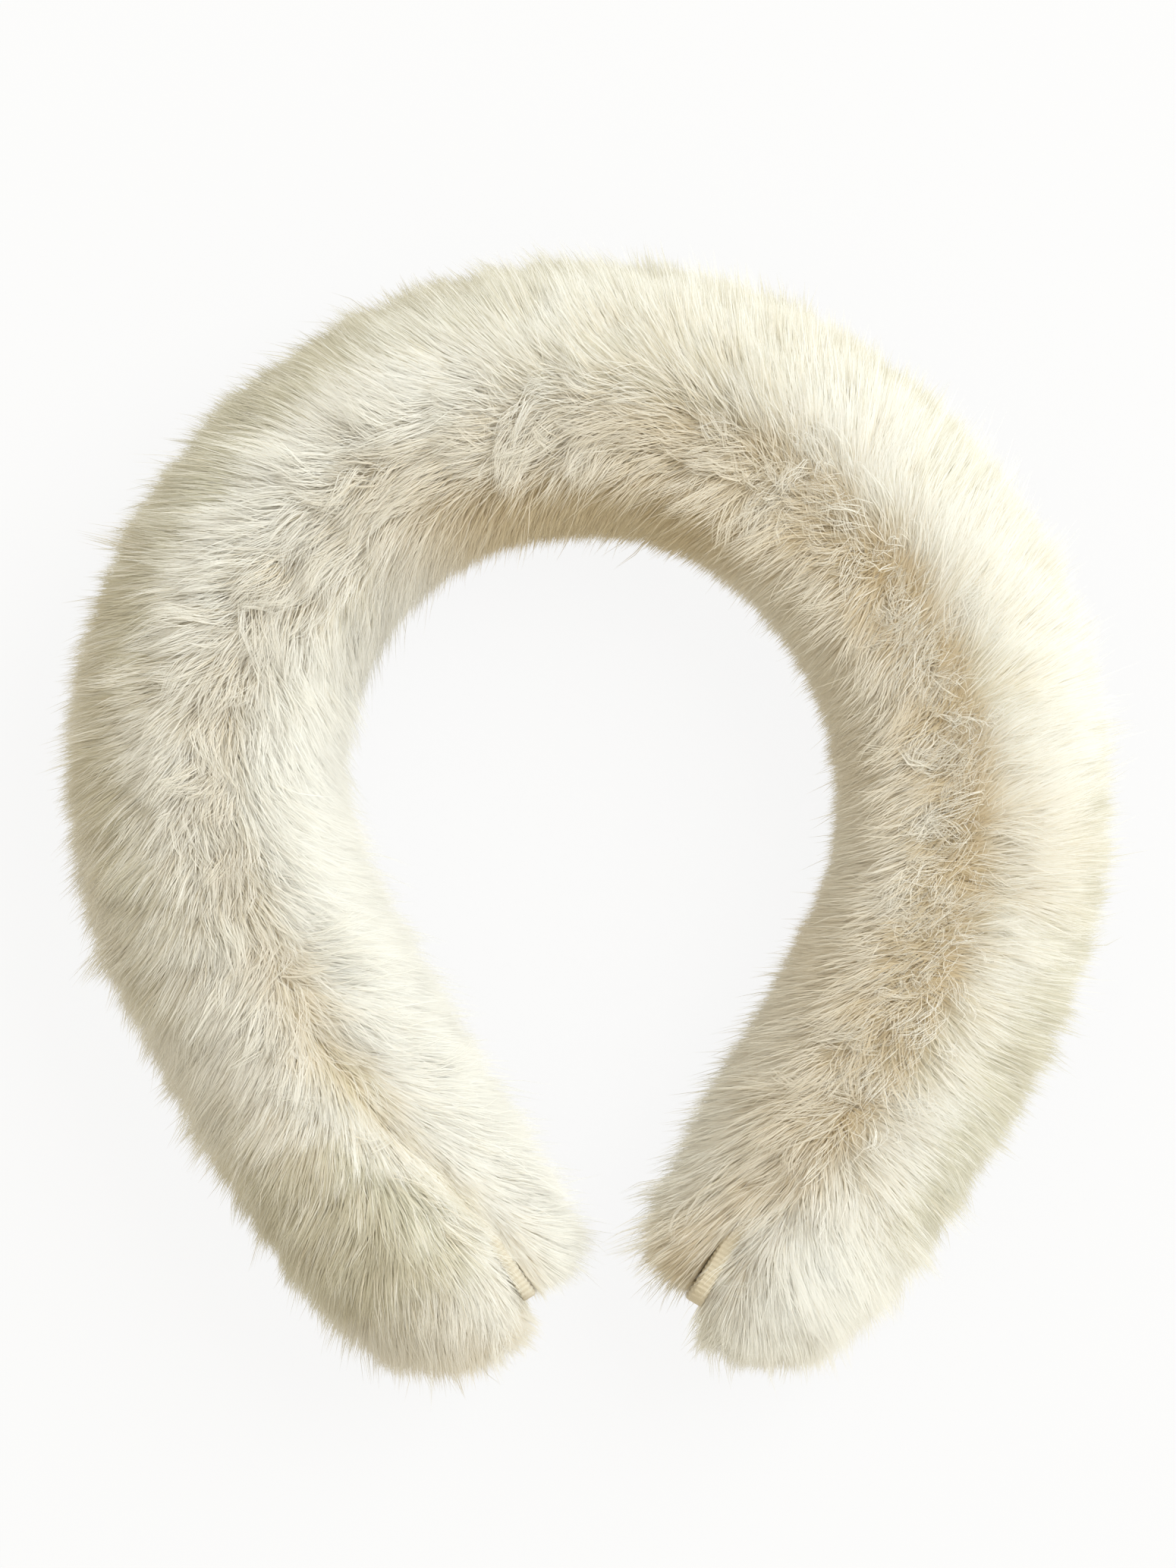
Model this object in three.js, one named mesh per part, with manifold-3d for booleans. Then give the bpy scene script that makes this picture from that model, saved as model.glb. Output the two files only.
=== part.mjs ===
// A plush headband, in millimetres, lying on its side as it rests on a table: +Z up, the crown towards
// +Y and the two free ends towards -Y. plush_cover is the padded roll in deep fur, modelled as the
// outer form of its pile: one thick roll bent to a horseshoe, settled flat where it rests, with a dip
// in the pile along the seam of its upper face and two lobes at each end. ribbon_band is the flat
// spring band inside it, wrapped in ribbon and standing on edge under the seam. The pile hides the
// band, except for its edge over the last stretch at each end.
import * as THREE from "three";
import { mergeVertices } from "three/addons/utils/BufferGeometryUtils.js";
import Module from "manifold-3d";

const { degToRad, lerp } = THREE.MathUtils;

// The roll's centre line from the left end to the right one. turn is in degrees, clockwise seen from
// above.
const CENTRE_LINE = [
  { stretch: "left arm", length: 93.5, turn: 5 },
  { stretch: "left side", length: 53.5, turn: 45.5 },
  { stretch: "crown", length: 154.5, turn: 122.5 },
  { stretch: "right side", length: 92.5, turn: 68 },
  { stretch: "right arm", length: 80, turn: 3 },
];
const FIRST_HEADING = 123; // degrees from +X, at the left end
const ROLL_LENGTH = CENTRE_LINE.reduce((sum, row) => sum + row.length, 0);

// The roll's cross-section is an oval whose middle lies this high, cut flat by the table it rests on.
const CORE_HEIGHT = 24.6;

// How the cross-section grows with the distance from the nearer end. outer, inner: half widths away
// from the head and towards it. half: half height. dip: depth of the seam's dip.
const ROLL_SECTIONS = [
  { from: 0, outer: 1, inner: 9, half: 7.5, dip: 0 },
  { from: 0.8, outer: 5.5, inner: 11, half: 11.5, dip: 0 },
  { from: 2.4, outer: 10, inner: 12.6, half: 15, dip: 0 },
  { from: 4.4, outer: 12.9, inner: 13.8, half: 17.2, dip: 0.3 },
  { from: 5.7, outer: 14, inner: 15.5, half: 18.3, dip: 0.8 },
  { from: 6.9, outer: 15.1, inner: 18.4, half: 19.2, dip: 1.8 },
  { from: 8.6, outer: 16.2, inner: 20.9, half: 20.1, dip: 3 },
  { from: 11.5, outer: 17.9, inner: 23, half: 21.4, dip: 3.8 },
  { from: 15.5, outer: 19.7, inner: 24.5, half: 22.8, dip: 4.2 },
  { from: 20.5, outer: 21.4, inner: 25.7, half: 24.1, dip: 4.2 },
  { from: 27, outer: 23.2, inner: 26.4, half: 25.3, dip: 3.8 },
  { from: 36, outer: 25.1, inner: 26.9, half: 26.3, dip: 3.4 },
  { from: 47, outer: 26.6, inner: 27.2, half: 26.9, dip: 3 },
  { from: 60, outer: 27.2, inner: 27.2, half: 27.1, dip: 2.8 },
];
const DIP_REACH = 8; // how far the dip reaches to each side of the seam
const ROLL_STEP = 7; // between the cross-sections past the last row above
const OUTER_STEPS = 18; // points of a cross-section from its underside up the outer side to the seam
const INNER_STEPS = 14; // and from the seam down the inner side
const SEAM_LIMIT = 0.7; // the seam lies no further in than this share of the inner half width

// How far the seam, and the band under it, lie from the centre line towards the head, by the distance
// from the nearer end.
const SEAM_PLACES = [
  { from: 0, left: 12.4, right: 9.4 },
  { from: 20, left: 12.2, right: 9.2 },
  { from: 34, left: 9.4, right: 6 },
  { from: 50, left: 6, right: 3.4 },
  { from: 70, left: 3.4, right: 2.6 },
  { from: 100, left: 2.8, right: 2.8 },
];

const BAND = { thickness: 3.2, bottom: 14.4, top: 38.4, corner: 4.5 };
const BAND_END = 7.2; // from the end of the roll to the end of the band
const BAND_STEP = 6;
const EDGE_CHAMFER = 0.7;
const CORNER_SHARES = [0, 0.13, 0.4]; // of a corner's radius: where the cross-sections across it stand
const POCKET_GAP = 0.35;
const BARE_TO = 20; // nearer the end than this, the band's upper edge is bare

// The notch that parts the two lobes of each end: at its bottom as wide as the band's pocket. Its
// outer wall leans in, past the band's end, and its inner wall leans away.
const NOTCH_DEPTH = 8.2;
const NOTCH_OUTER_LEAN = 2;
const NOTCH_INNER_LEAN = 7;
const CLEAR = 70; // past everything in the roll

const COVER_COLOUR = 0xf1ebdb;
const RIBBON_COLOUR = 0xd9cbab;

const wasm = await Module();
wasm.setup();

// The centre line at a distance from the left end: the point, and the direction towards the head.
// The first and the last stretch run on past the roll's ends.
function centreLine(distance) {
  const point = new THREE.Vector2();
  let heading = degToRad(FIRST_HEADING);
  let left = distance;
  for (const row of CENTRE_LINE) {
    const isLast = row === CENTRE_LINE.at(-1);
    const length = isLast ? left : Math.min(left, row.length);
    const turn = degToRad(row.turn) * (length / row.length);
    const chord = turn === 0 ? length : (2 * length * Math.sin(turn / 2)) / turn;
    const way = heading - turn / 2;
    point.add(new THREE.Vector2(Math.cos(way), Math.sin(way)).multiplyScalar(chord));
    heading -= turn;
    left -= length;
    if (left <= 0 && !isLast) break;
  }
  return { point, toHead: new THREE.Vector2(Math.sin(heading), -Math.cos(heading)) };
}

// The place of a point of a cross-section: offset is towards the head, height above the table.
function placed(distance, offset, height) {
  const { point, toHead } = centreLine(distance);
  point.addScaledVector(toHead, offset);
  return new THREE.Vector3(point.x, point.y, height);
}

// A table's row at a distance from the nearer end of the roll, interpolated between its neighbours.
function rowAt(table, distance) {
  const fromEnd = Math.min(distance, ROLL_LENGTH - distance);
  const next = table.findIndex((row) => row.from > fromEnd);
  if (next < 1) return table.at(next);
  const [before, after] = [table[next - 1], table[next]];
  const share = (fromEnd - before.from) / (after.from - before.from);
  const entries = Object.keys(after).map((key) => [key, lerp(before[key], after[key], share)]);
  return Object.fromEntries(entries);
}

function seamOffset(distance) {
  const row = rowAt(SEAM_PLACES, distance);
  return distance < ROLL_LENGTH / 2 ? row.left : row.right;
}

// The starts of count equal parts from start to end.
function divided(start, end, count) {
  return Array.from({ length: count }, (_, i) => lerp(start, end, i / count));
}

// Evenly spaced values from start to end, both included, at most step apart.
function spaced(start, end, step) {
  return [...divided(start, end, Math.ceil((end - start) / step)), end];
}

// A closed solid through rings of equally many points, which run clockwise seen along the way.
function loft(rings) {
  const count = rings[0].length;
  const end = (rings.length - 1) * count;
  const index = [];
  for (let ring = 0; ring < end; ring += count) {
    for (let i = 0; i < count; i++) {
      const a = ring + i;
      const b = ring + ((i + 1) % count);
      index.push(a, b, b + count, a, b + count, a + count);
    }
  }
  for (let i = 1; i < count - 1; i++) index.push(0, i + 1, i, end, end + i, end + i + 1);
  const geometry = new THREE.BufferGeometry().setFromPoints(rings.flat());
  geometry.setIndex(index);
  return geometry;
}

// One cross-section of the roll: from under its middle up the outer side to the seam, and down the
// inner side. The angle runs from 0 at the underside through a half turn at the top.
function rollRing(distance) {
  const row = rowAt(ROLL_SECTIONS, distance);
  const seam = Math.min(seamOffset(distance), row.inner * SEAM_LIMIT);
  const seamAngle = Math.PI + Math.asin(seam / row.inner);
  const outerAngles = divided(0, seamAngle, OUTER_STEPS);
  const innerAngles = divided(seamAngle, 2 * Math.PI, INNER_STEPS);
  return [...outerAngles, ...innerAngles].map((angle) => {
    const offset = -Math.sin(angle) * (angle < Math.PI ? row.outer : row.inner);
    const upper = Math.cos(angle) < 0;
    const nearness = upper ? Math.max(0, 1 - Math.abs(offset - seam) / DIP_REACH) : 0;
    const dip = row.dip * Math.sin((nearness * Math.PI) / 2) ** 2;
    return placed(distance, offset, Math.max(0, CORE_HEIGHT - Math.cos(angle) * row.half - dip));
  });
}

function roll() {
  const near = ROLL_SECTIONS.map((row) => row.from);
  const middle = spaced(near.at(-1), ROLL_LENGTH - near.at(-1), ROLL_STEP).slice(1, -1);
  const far = near.toReversed().map((from) => ROLL_LENGTH - from);
  return loft([...near, ...middle, ...far].map(rollRing));
}

// A strip on edge along the seam, with chamfered edges and, seen from its side, rounded corners.
function strip(start, end, { thickness, bottom, top, corner }) {
  const distances = [
    ...CORNER_SHARES.map((share) => start + share * corner),
    ...spaced(start + corner, end - corner, BAND_STEP),
    ...CORNER_SHARES.toReversed().map((share) => end - share * corner),
  ];
  const half = thickness / 2;
  return loft(
    distances.map((distance) => {
      const fromCorner = Math.max(0, corner - Math.min(distance - start, end - distance));
      const inset = corner - Math.sqrt(corner ** 2 - fromCorner ** 2);
      const [low, high] = [bottom + inset, top - inset];
      const seam = seamOffset(distance);
      const section = [
        [EDGE_CHAMFER - half, low],
        [-half, low + EDGE_CHAMFER],
        [-half, high - EDGE_CHAMFER],
        [EDGE_CHAMFER - half, high],
        [half - EDGE_CHAMFER, high],
        [half, high - EDGE_CHAMFER],
        [half, low + EDGE_CHAMFER],
        [half - EDGE_CHAMFER, low],
      ];
      return section.map(([across, height]) => placed(distance, seam + across, height));
    }),
  );
}

// The notch between the lobes at one end, as wide as the band's pocket at its bottom. inward is 1
// where the way from the end into the roll runs onwards and -1 where it runs back.
function notch(end, inward) {
  const half = BAND.thickness / 2 + POCKET_GAP;
  const bottom = end + inward * NOTCH_DEPTH;
  const mouth = end - inward * NOTCH_DEPTH;
  const seam = seamOffset(end);
  const corners = [
    [bottom, seam - half],
    [bottom, seam + half],
    [mouth, seam + half + 2 * NOTCH_INNER_LEAN],
    [mouth, seam - half + 2 * NOTCH_OUTER_LEAN],
  ];
  const outline = corners.map(([distance, offset]) => placed(distance, offset, 0));
  const shape = new THREE.Shape(outline.map((point) => new THREE.Vector2(point.x, point.y)));
  const geometry = new THREE.ExtrudeGeometry(shape, { depth: 2 * CLEAR, bevelEnabled: false });
  return geometry.translate(0, 0, -CLEAR);
}

function toSolid(geometry) {
  const bare = geometry.clone();
  bare.deleteAttribute("normal");
  bare.deleteAttribute("uv");
  const merged = mergeVertices(bare);
  const vertProperties = Float32Array.from(merged.attributes.position.array);
  const triVerts = Uint32Array.from(merged.index.array);
  return new wasm.Manifold(new wasm.Mesh({ numProp: 3, vertProperties, triVerts }));
}

function toGeometry(solid) {
  const { vertProperties, triVerts } = solid.getMesh();
  const geometry = new THREE.BufferGeometry();
  geometry.setAttribute("position", new THREE.BufferAttribute(vertProperties, 3));
  geometry.setIndex(new THREE.BufferAttribute(triVerts, 1));
  geometry.computeVertexNormals();
  return geometry;
}

// The roll with the band's pocket, the slots that leave the band's edge bare and the notches cut
// out of it.
function plushCover() {
  const pocket = {
    thickness: BAND.thickness + 2 * POCKET_GAP,
    bottom: BAND.bottom - POCKET_GAP,
    top: BAND.top + POCKET_GAP,
    corner: BAND.corner,
  };
  const slot = { ...pocket, bottom: BAND.top - 2 * BAND.corner, top: CLEAR, corner: POCKET_GAP };
  const [left, right] = [BAND_END - POCKET_GAP, ROLL_LENGTH - BAND_END + POCKET_GAP];
  const cuts = [
    strip(left, right, pocket),
    strip(left, BARE_TO, slot),
    strip(ROLL_LENGTH - BARE_TO, right, slot),
    notch(0, 1),
    notch(ROLL_LENGTH, -1),
  ];
  return toGeometry(cuts.reduce((solid, cut) => solid.subtract(toSolid(cut)), toSolid(roll())));
}

function mesh(name, geometry, material) {
  const piece = new THREE.Mesh(geometry, new THREE.MeshStandardMaterial(material));
  piece.name = name;
  return piece;
}

const headband = new THREE.Group();
const plush = { color: COVER_COLOUR, roughness: 0.9, metalness: 0 };
const ribbon = { color: RIBBON_COLOUR, roughness: 0.75, metalness: 0 };
headband.add(mesh("plush_cover", plushCover(), plush));
headband.add(mesh("ribbon_band", strip(BAND_END, ROLL_LENGTH - BAND_END, BAND), ribbon));

// The origin is under the middle of the whole, on the table.
const box = new THREE.Box3().setFromObject(headband);
const middle = box.getCenter(new THREE.Vector3());
headband.position.set(-middle.x, -middle.y, -box.min.z);

export default headband;
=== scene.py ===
"""A plush headband in deep cream fur, lying on its side on a pale floor."""

import math

import bpy
import numpy as np
from bpy.props import FloatProperty, FloatVectorProperty, IntProperty, PointerProperty
from mathutils.kdtree import KDTree
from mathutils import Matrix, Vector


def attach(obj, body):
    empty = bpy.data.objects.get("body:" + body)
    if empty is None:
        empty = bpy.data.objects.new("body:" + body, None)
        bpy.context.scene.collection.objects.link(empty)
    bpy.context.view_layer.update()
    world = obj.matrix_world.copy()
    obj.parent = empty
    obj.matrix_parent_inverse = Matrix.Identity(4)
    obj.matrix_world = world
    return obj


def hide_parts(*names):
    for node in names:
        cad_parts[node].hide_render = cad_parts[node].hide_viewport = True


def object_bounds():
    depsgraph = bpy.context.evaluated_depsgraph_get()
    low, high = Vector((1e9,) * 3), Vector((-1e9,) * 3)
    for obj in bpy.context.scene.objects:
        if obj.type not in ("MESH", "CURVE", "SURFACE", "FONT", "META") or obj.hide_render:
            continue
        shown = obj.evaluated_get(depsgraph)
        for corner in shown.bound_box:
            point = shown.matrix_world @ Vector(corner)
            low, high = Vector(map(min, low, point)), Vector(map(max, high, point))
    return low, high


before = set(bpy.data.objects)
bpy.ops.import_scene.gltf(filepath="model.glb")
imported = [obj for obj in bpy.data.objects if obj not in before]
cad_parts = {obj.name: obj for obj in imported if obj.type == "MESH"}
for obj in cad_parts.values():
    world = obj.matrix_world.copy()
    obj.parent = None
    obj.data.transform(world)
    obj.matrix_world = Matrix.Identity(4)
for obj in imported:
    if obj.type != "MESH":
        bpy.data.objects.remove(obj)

bl_info = {
    "name": "Plush Headband",
    "version": (1, 0, 0),
    "blender": (4, 5, 0),
    "location": "3D Viewport > Sidebar > Headband",
    "description": "Builds a padded headband in deep fur around its packed frame, with a studio stage",
    "category": "Object",
}

CAD_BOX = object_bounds()
MM = 0.001

# The roll's centre line from the left end to the right one: length in mm, turn in degrees clockwise.
CENTRE_LINE = (
    ("left arm", 93.5, 5.0),
    ("left side", 53.5, 45.5),
    ("crown", 154.5, 122.5),
    ("right side", 92.5, 68.0),
    ("right arm", 80.0, 3.0),
)
FIRST_HEADING = math.radians(123.0)
ROLL_HALF_WIDTH = 27.2
ROLL_LENGTH = sum(row[1] for row in CENTRE_LINE)
ROLL_MIDDLE = ROLL_LENGTH / 2
LINE_STEP = 0.25

# The seam's offset towards the head, in mm, by the distance from the nearer end, on the left and the right.
SEAM_FROM = (0, 20, 34, 50, 70, 100)
SEAM_LEFT = (12.4, 12.2, 9.4, 6.0, 3.4, 2.8)
SEAM_RIGHT = (9.4, 9.2, 6.0, 3.4, 2.6, 2.8)

# The two rolled edges of the backing under the fur, in mm: distance from the end, offset towards the head,
# half width. The outer one reaches further than the inner one, so that a notch opens between them.
OUTER_LOBE_LEFT = (
    (8.4, 4.8, 0.6), (9.0, 4.4, 5.0), (10.2, 3.8, 8.1), (12.4, 2.7, 10.7), (15.4, 1.5, 12.7),
    (20, 0.3, 14.4), (27, -1.0, 15.7), (38, -2.4, 16.1), (60, -3.8, 15.9),
)
OUTER_LOBE_RIGHT = (
    (8.6, 4.4, 0.6), (9.2, 4.0, 5.0), (10.4, 3.2, 8.0), (12.6, 2.1, 10.3), (15.6, 0.9, 12.1),
    (20, -0.2, 13.7), (27, -1.5, 14.8), (38, -2.6, 15.3), (60, -3.6, 15.6),
)
INNER_LOBE_LEFT = (
    (11.0, 13.7, 0.6), (11.4, 13.6, 4.4), (12.4, 13.4, 6.0), (14.5, 13.0, 7.3), (19, 12.0, 8.3),
    (27, 10.9, 9.1), (38, 9.6, 10.2), (60, 7.9, 11.6),
)
INNER_LOBE_RIGHT = (
    (12.0, 12.2, 0.6), (12.4, 12.1, 4.7), (13.8, 11.8, 6.3), (16.5, 11.3, 7.4), (20, 10.8, 8.2),
    (27, 10.0, 8.6), (38, 9.1, 9.9), (60, 7.6, 11.6),
)

# How much taller than wide each edge is, how high their middle lies in mm, how much smaller they start so
# that they can swell, and over how many frames they do.
OUTER_TALL = 1.33
INNER_TALL = 1.66
BACKING_MIDDLE = 23.3
SWELL_ROOM = 0.9
SWELL_FRAMES = 20

# The spacing of a tube's rings in mm, the gap in its tables that its middle part fills, its thinnest ring.
TUBE_STEP = 3.0
TUBE_GAP = 40.0
TUBE_THIN = 0.4

# Half the width of the bare line along the seam, in mm, by the distance from the left end.
SEAM_BARE = ((0, 1.4), (28, 1.4), (31, 0.3), (50, 0.3), (60, 0.0), (442, 0.0), (445, 1.8), (474, 1.8))

# How deep the seam is drawn in below the fur, in mm, by the distance from the left end, and its reach.
SEAM_DEPTH = (
    (0, 0.0), (10, 2.0), (15, 5.5), (24, 6.0), (34, 3.5), (70, 1.2), (110, 0.5), (220, 1.0), (400, 0.0),
    (432, 0.0), (444, 3.0), (458, 3.0), (464, 0.5), (474, 0.0),
)
SEAM_REACH = 4.5

# The ribbon-covered band, in mm: it stands on edge in the seam and shows at both ends, where it has ribs.
BAND_THICK_LEFT, BAND_THICK_RIGHT = 2.7, 3.5
BAND_LOW, BAND_HIGH = 14.4, 38.4
BAND_CORNER = 4.5
BAND_FROM_END = 7.2
BAND_STEP = 3.0
RIB_PITCH, RIB_RISE = 1.0, 0.2
RIBBED_TO = 30.0

# Points round the band, and how square its section is: 1 is an ellipse, 0 a rectangle.
BAND_AROUND = 16
BAND_SQUARE = 0.35

# Where the band changes from its left thickness and painted light to its right ones, and how light each end
# is
# painted: the right end is darker, painted shade from the lobes beside it.
BAND_CHANGE = (40.0, 430.0)
BAND_END_LIGHT = (1.0, 0.15)


class Line:
    """The roll's centre line in mm, and places on it."""

    def __init__(self):
        count = int(round(ROLL_LENGTH / LINE_STEP)) + 1
        self.s = np.linspace(0.0, ROLL_LENGTH, count)
        ends = np.concatenate(([0.0], np.cumsum([row[1] for row in CENTRE_LINE])))
        turned = np.concatenate(([0.0], np.cumsum([row[2] for row in CENTRE_LINE])))
        self.heading = FIRST_HEADING - np.radians(np.interp(self.s, ends, turned))
        way = np.stack([np.cos(self.heading), np.sin(self.heading)], -1)
        steps = (way[1:] + way[:-1]) / 2 * LINE_STEP
        xy = np.concatenate((np.zeros((1, 2)), np.cumsum(steps, 0)))
        low, high = (np.array(corner) / MM for corner in CAD_BOX)
        middle = (low[0] + high[0]) / 2 - (xy[:, 0].min() + xy[:, 0].max()) / 2
        self.xy = xy + (middle, high[1] - ROLL_HALF_WIDTH - xy[:, 1].max())

    def at(self, s):
        """Points, directions onwards and directions to the head at distances s, straight on past the ends."""
        s = np.asarray(s, float)
        inside = np.clip(s, 0.0, ROLL_LENGTH)
        heading = np.interp(inside, self.s, self.heading)
        along = np.stack([np.cos(heading), np.sin(heading)], -1)
        xy = np.stack([np.interp(inside, self.s, self.xy[:, k]) for k in (0, 1)], -1)
        to_head = np.stack([along[..., 1], -along[..., 0]], -1)
        return xy + along * (s - inside)[..., None], along, to_head

    def nearest(self, points):
        """The distance along the line and the offset towards the head of each point, in mm."""
        tree = KDTree(len(self.s))
        for i, (x, y) in enumerate(self.xy):
            tree.insert((x, y, 0.0), i)
        tree.balance()
        found = np.array([tree.find((x, y, 0.0))[1] for x, y in points[:, :2]])
        s = self.s[found]
        xy, along, to_head = self.at(s)
        rest = points[:, :2] - xy
        return s + (rest * along).sum(-1), (rest * to_head).sum(-1)


LINE = Line()


def seam_offset(s):
    """The seam's offset towards the head at distances s, in mm."""
    left = np.interp(s, SEAM_FROM, SEAM_LEFT)
    right = np.interp(ROLL_LENGTH - s, SEAM_FROM, SEAM_RIGHT)
    return np.where(s < ROLL_MIDDLE, left, right)


# ---------------------------------------------------------------- shading

# Numbers of the sockets of Mix nodes for colours, and of the outputs taken from two other nodes.
MIX_FACTOR, MIX_LOW, MIX_HIGH, MIX_RESULT = 0, 6, 7, 2
ATTRIBUTE_VALUE = 2
OBJECT_PLACE = 3

# How fast a fibre pales towards its tip and how far its tone shifts that, the tone below which it is mixed
# towards the grey of painted shade and how fast it greys, and how tan its root can be and how much less its
# tip is.
PALING, TONE_SHIFT = 1.4, 0.6
GREY_BELOW, GREYING = 0.36, 2.4
TAN_ROOT, TAN_LOST = 1.15, 0.45


class Wire:
    """A shader value; sums, differences and products of wires and numbers add their Math nodes."""

    def __init__(self, paint, socket):
        self.paint = paint
        self.socket = socket

    def math(self, operation, *values):
        return self.paint.node("ShaderNodeMath", {"operation": operation}, dict(enumerate(values)))

    def __add__(self, other):
        return self.math("ADD", self, other)

    def __radd__(self, other):
        return self.math("ADD", other, self)

    def __sub__(self, other):
        return self.math("SUBTRACT", self, other)

    def __rsub__(self, other):
        return self.math("SUBTRACT", other, self)

    def __mul__(self, other):
        return self.math("MULTIPLY", self, other)

    def __rmul__(self, other):
        return self.math("MULTIPLY", other, self)

    def clamped(self):
        return self.math("MINIMUM", self.math("MAXIMUM", self, 0.0), 1.0)


class Paint:
    """A material's nodes, made one at a time."""

    def __init__(self, name):
        self.material = bpy.data.materials.new(name)
        self.material.use_nodes = True
        self.tree = self.material.node_tree
        self.tree.nodes.clear()
        self.column = 0

    def node(self, kind, settings=None, inputs=None, output=0):
        """Add a node, set it up, fill or link its sockets, and return the wire of one of its outputs."""
        node = self.tree.nodes.new(kind)
        node.location = (200 * self.column, -60 * (self.column % 5))
        self.column += 1
        for key, value in (settings or {}).items():
            setattr(node, key, value)
        for key, value in (inputs or {}).items():
            if isinstance(value, Wire):
                self.tree.links.new(value.socket, node.inputs[key])
            else:
                node.inputs[key].default_value = value
        return Wire(self, node.outputs[output]) if node.outputs else None

    def mix(self, factor, low, high):
        """A colour between two others."""
        low, high = (c if isinstance(c, Wire) else (*c, 1.0) for c in (low, high))
        inputs = {MIX_FACTOR: factor, MIX_LOW: low, MIX_HIGH: high}
        return self.node("ShaderNodeMix", {"data_type": "RGBA"}, inputs, MIX_RESULT)

    def attribute(self, name):
        return self.node("ShaderNodeAttribute", {"attribute_name": name}, None, ATTRIBUTE_VALUE)

    def place(self):
        return self.node("ShaderNodeTexCoord", None, None, OBJECT_PLACE)

    def noise(self, scale, detail, rough=0.5):
        inputs = {"Vector": self.place(), "Scale": scale, "Detail": detail, "Roughness": rough}
        return self.node("ShaderNodeTexNoise", None, inputs)

    def bump(self, height, strength, distance):
        inputs = {"Height": height, "Strength": strength, "Distance": distance}
        return self.node("ShaderNodeBump", None, inputs)

    def surface(self, inputs):
        shader = self.node("ShaderNodeBsdfPrincipled", None, inputs)
        self.node("ShaderNodeOutputMaterial", None, {"Surface": shader})
        return self.material


def fibre_paint(settings):
    """Fur: warmer at the root and paler at the tip, lighter or greyer by the strand, tan where matted.

    The tone and the tan also carry painted light and shade, laid on by place.
    """
    paint = Paint("plush_fibre")
    along = paint.attribute("along")
    tone = paint.attribute("tone")
    tan = paint.attribute("tan")
    lift = (along * PALING + (tone - 0.5) * TONE_SHIFT).clamped()
    colour = paint.mix(lift, tuple(settings.root_colour), tuple(settings.tip_colour))
    # Painted shade: strands of low tone, on the shaded outside, rim and hollow, are mixed towards the grey.
    grey = ((GREY_BELOW - tone) * GREYING).clamped()
    colour = paint.mix(grey, colour, tuple(settings.shade_colour))
    # The tan mix is both the matted tan and painted shade.
    depth = (tan * (TAN_ROOT - TAN_LOST * along)).clamped()
    colour = paint.mix(depth, colour, tuple(settings.tan_and_shade_colour))
    return paint.surface({"Base Color": colour, "Roughness": 0.6, "Specular IOR Level": 0.2})


def backing_paint(settings):
    """The knitted backing that shows between the fibres."""
    paint = Paint("plush_backing")
    knit = paint.noise(scale=900.0, detail=3.0, rough=0.6)
    patch = paint.noise(scale=70.0, detail=3.0)
    shade = (knit * 0.5 + patch * 0.6 - 0.1).clamped()
    colour = paint.mix(shade, tuple(settings.root_colour), tuple(settings.tip_colour))
    bump = paint.bump(knit, strength=0.5, distance=0.0006)
    return paint.surface({"Base Color": colour, "Roughness": 0.9, "Normal": bump})


def ribbon_paint(settings):
    """Grosgrain ribbon: fine ribs across its width, with painted shade between them and over the right end.
    """
    paint = Paint("ribbon_grosgrain")
    knit = paint.noise(scale=2500.0, detail=2.0)
    patch = paint.noise(scale=160.0, detail=3.0)
    # Painted shade: darker in the grooves between the ribs and over the whole right end.
    shade = (paint.attribute("weave_and_shade") * 0.8 + patch * 0.5 - 0.25).clamped()
    colour = paint.mix(shade, tuple(settings.ribbon_shade), tuple(settings.ribbon_colour))
    bump = paint.bump(knit, strength=0.4, distance=0.0003)
    return paint.surface({"Base Color": colour, "Roughness": 0.7, "Normal": bump})


# ---------------------------------------------------------------- modelling


def deselect():
    for obj in bpy.context.selected_objects:
        obj.select_set(False)


def select(obj):
    deselect()
    obj.select_set(True)
    bpy.context.view_layer.objects.active = obj


def tube(name, left, right, tall):
    """A closed tube along the centre line, its half width and offset read from a table for each end."""
    table = np.array([*left, *((ROLL_LENGTH - row[0], *row[1:]) for row in reversed(right))])
    inner = np.arange(left[-1][0] + TUBE_STEP, ROLL_LENGTH - right[-1][0] - 2.0, TUBE_STEP)
    ends = [np.linspace(a, b, 4)[:-1] for a, b in zip(table[:-1, 0], table[1:, 0]) if b - a < TUBE_GAP]
    s = np.unique(np.concatenate([inner, *ends, table[-1:, 0]]))
    offset = np.interp(s, table[:, 0], table[:, 1])
    radius = np.interp(s, table[:, 0], table[:, 2]) - SWELL_ROOM
    xy, _, to_head = LINE.at(s)
    xy = (xy + to_head * offset[:, None]) * MM
    curve = bpy.data.curves.new(name, "CURVE")
    curve.dimensions = "3D"
    curve.twist_mode = "Z_UP"
    curve.bevel_depth = MM
    curve.bevel_resolution = 8
    curve.use_fill_caps = True
    spline = curve.splines.new("POLY")
    spline.points.add(len(s) - 1)
    for point, (x, y), r in zip(spline.points, xy, radius):
        point.co = (x, y, 0.0, 1.0)
        point.radius = max(r, TUBE_THIN)
    obj = bpy.data.objects.new(name, curve)
    bpy.context.collection.objects.link(obj)
    select(obj)
    bpy.ops.object.convert(target="MESH")
    bpy.ops.object.mode_set(mode="EDIT")
    bpy.ops.mesh.select_all(action="SELECT")
    bpy.ops.transform.resize(value=(1.0, 1.0, tall))
    bpy.ops.transform.translate(value=(0.0, 0.0, BACKING_MIDDLE * MM))
    bpy.ops.object.mode_set(mode="OBJECT")
    return obj


def vertices(obj):
    co = np.empty(len(obj.data.vertices) * 3)
    obj.data.vertices.foreach_get("co", co)
    return co.reshape(-1, 3)


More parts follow.
